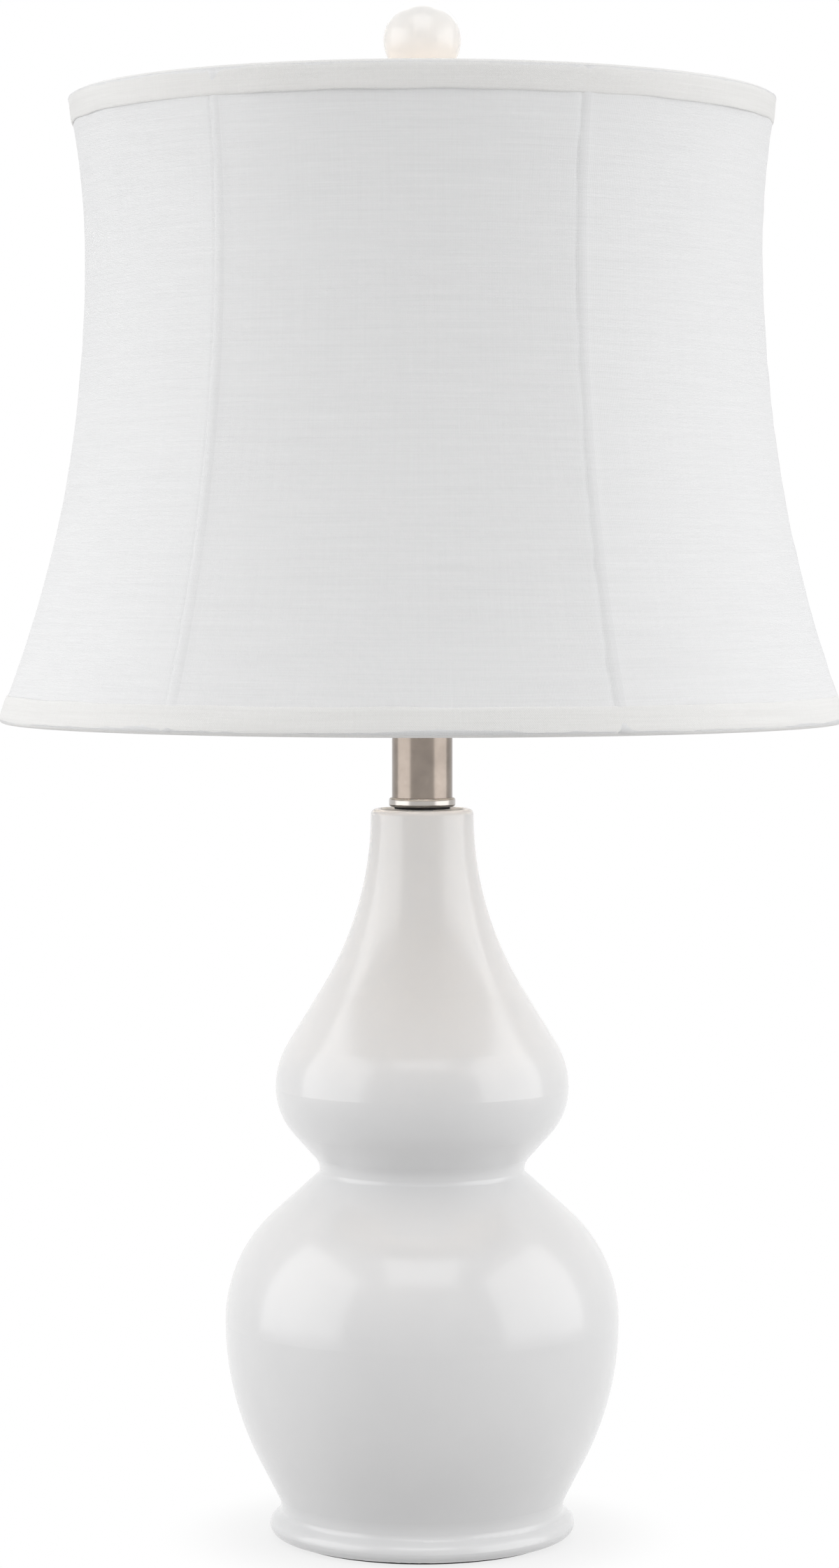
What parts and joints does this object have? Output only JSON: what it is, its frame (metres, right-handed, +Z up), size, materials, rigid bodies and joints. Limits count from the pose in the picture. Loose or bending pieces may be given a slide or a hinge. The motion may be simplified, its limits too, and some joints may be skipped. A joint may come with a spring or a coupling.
{
  "type": "table lamp",
  "caption": "Double gourd table lamp: glazed ceramic body, nickel neck and harp, bell shade in six gores, ball finial",
  "frame": {"origin": "on the table under the middle of the lamp, at the underside of the felt pad", "axes": "+Z up along the lamp's axis; the switch knob points to -Y and the cord hole to +Y; the harp lies in the XZ plane"},
  "size_m": [0.3718, 0.3718, 0.6745],
  "materials": {
    "glazed_body": "cream white glaze over cast stoneware",
    "felt": "dark pressed felt",
    "bushing": "moulded, matt",
    "zinc_steel": "zinc plated",
    "gasket": "thin soft washer",
    "nickel": "polished nickel plate",
    "socket_metal": "satin nickel plate",
    "liner": "insulating fibre sleeve",
    "block": "moulded phenolic",
    "brass": "bright brass",
    "knob": "fluted, black",
    "bulb_cap": "pressed thread",
    "bulb_eye": "solder over black glass",
    "bulb_frosted": "frosted",
    "frame_wire": "white painted wire",
    "spider_metal": "nickel plated wire",
    "linen": "off-white slubbed linen",
    "lining": "thin plain lining",
    "finial_white": "white glazed ball"
  },
  "bodies": {
    "lamp_base": {"ceramic_body": "glazed_body", "cord_bushing": "bushing", "felt_pad": "felt", "lamp_pipe": "zinc_steel", "base_washer": "zinc_steel", "lock_washer": "zinc_steel", "base_nut": "zinc_steel", "neck_gasket": "gasket", "neck_ring": "nickel", "neck_tube": "nickel", "tube_cap": "nickel", "harp_saddle": "nickel", "saddle_nut": "zinc_steel", "socket_cap": "socket_metal", "set_screw": "zinc_steel", "socket_shell": "socket_metal", "socket_liner": "liner", "socket_block": "block", "terminal_screws": "brass", "screw_shell": "brass", "centre_contact": "brass"},
    "switch": {"switch_shaft": "brass", "switch_knob": "knob"},
    "bulb": {"bulb_base": "bulb_cap", "bulb_contact": "bulb_eye", "bulb_glass": "bulb_frosted"},
    "harp": {"harp_hoop": "nickel", "harp_feet": "nickel", "harp_crown": "nickel"},
    "sleeve_right": {"harp_sleeve_right": "nickel"},
    "sleeve_left": {"harp_sleeve_left": "nickel"},
    "stud": {"shade_stud": "nickel"},
    "shade": {"shade_top_ring": "frame_wire", "shade_bottom_ring": "frame_wire", "shade_ribs": "frame_wire", "shade_spider": "spider_metal", "shade_cover": "linen", "shade_lining": "lining", "bottom_trim": "linen", "top_trim": "linen"},
    "finial": {"finial_base": "nickel", "finial_ball": "finial_white"}
  },
  "joints": [
    {"name": "switch_turn", "type": "hinge", "parent": "lamp_base", "child": "switch", "pos_m": [0, -0.02, 0.4048], "axis": [0, -1, 0], "continuous": true},
    {"name": "bulb_lift", "type": "slide", "parent": "lamp_base", "child": "bulb", "axis": [0, 0, 1], "range_m": [0, 0.03]},
    {"name": "harp_lift", "type": "slide", "parent": "lamp_base", "child": "harp", "axis": [0, 0, 1], "range_m": [0, 0.03]},
    {"name": "sleeve_right_slide", "type": "slide", "parent": "harp", "child": "sleeve_right", "axis": [0, 0, 1], "range_m": [0, 0.016]},
    {"name": "sleeve_left_slide", "type": "slide", "parent": "harp", "child": "sleeve_left", "axis": [0, 0, 1], "range_m": [0, 0.016]},
    {"name": "shade_turn", "type": "hinge", "parent": "harp", "child": "stud", "pos_m": [0, 0, 0.6246], "axis": [0, 0, 1], "continuous": true},
    {"name": "shade_lift", "type": "slide", "parent": "stud", "child": "shade", "axis": [0, 0, 1], "range_m": [0, 0.26]},
    {"name": "finial_lift", "type": "slide", "parent": "shade", "child": "finial", "axis": [0, 0, 1], "range_m": [0, 0.03]}
  ]
}
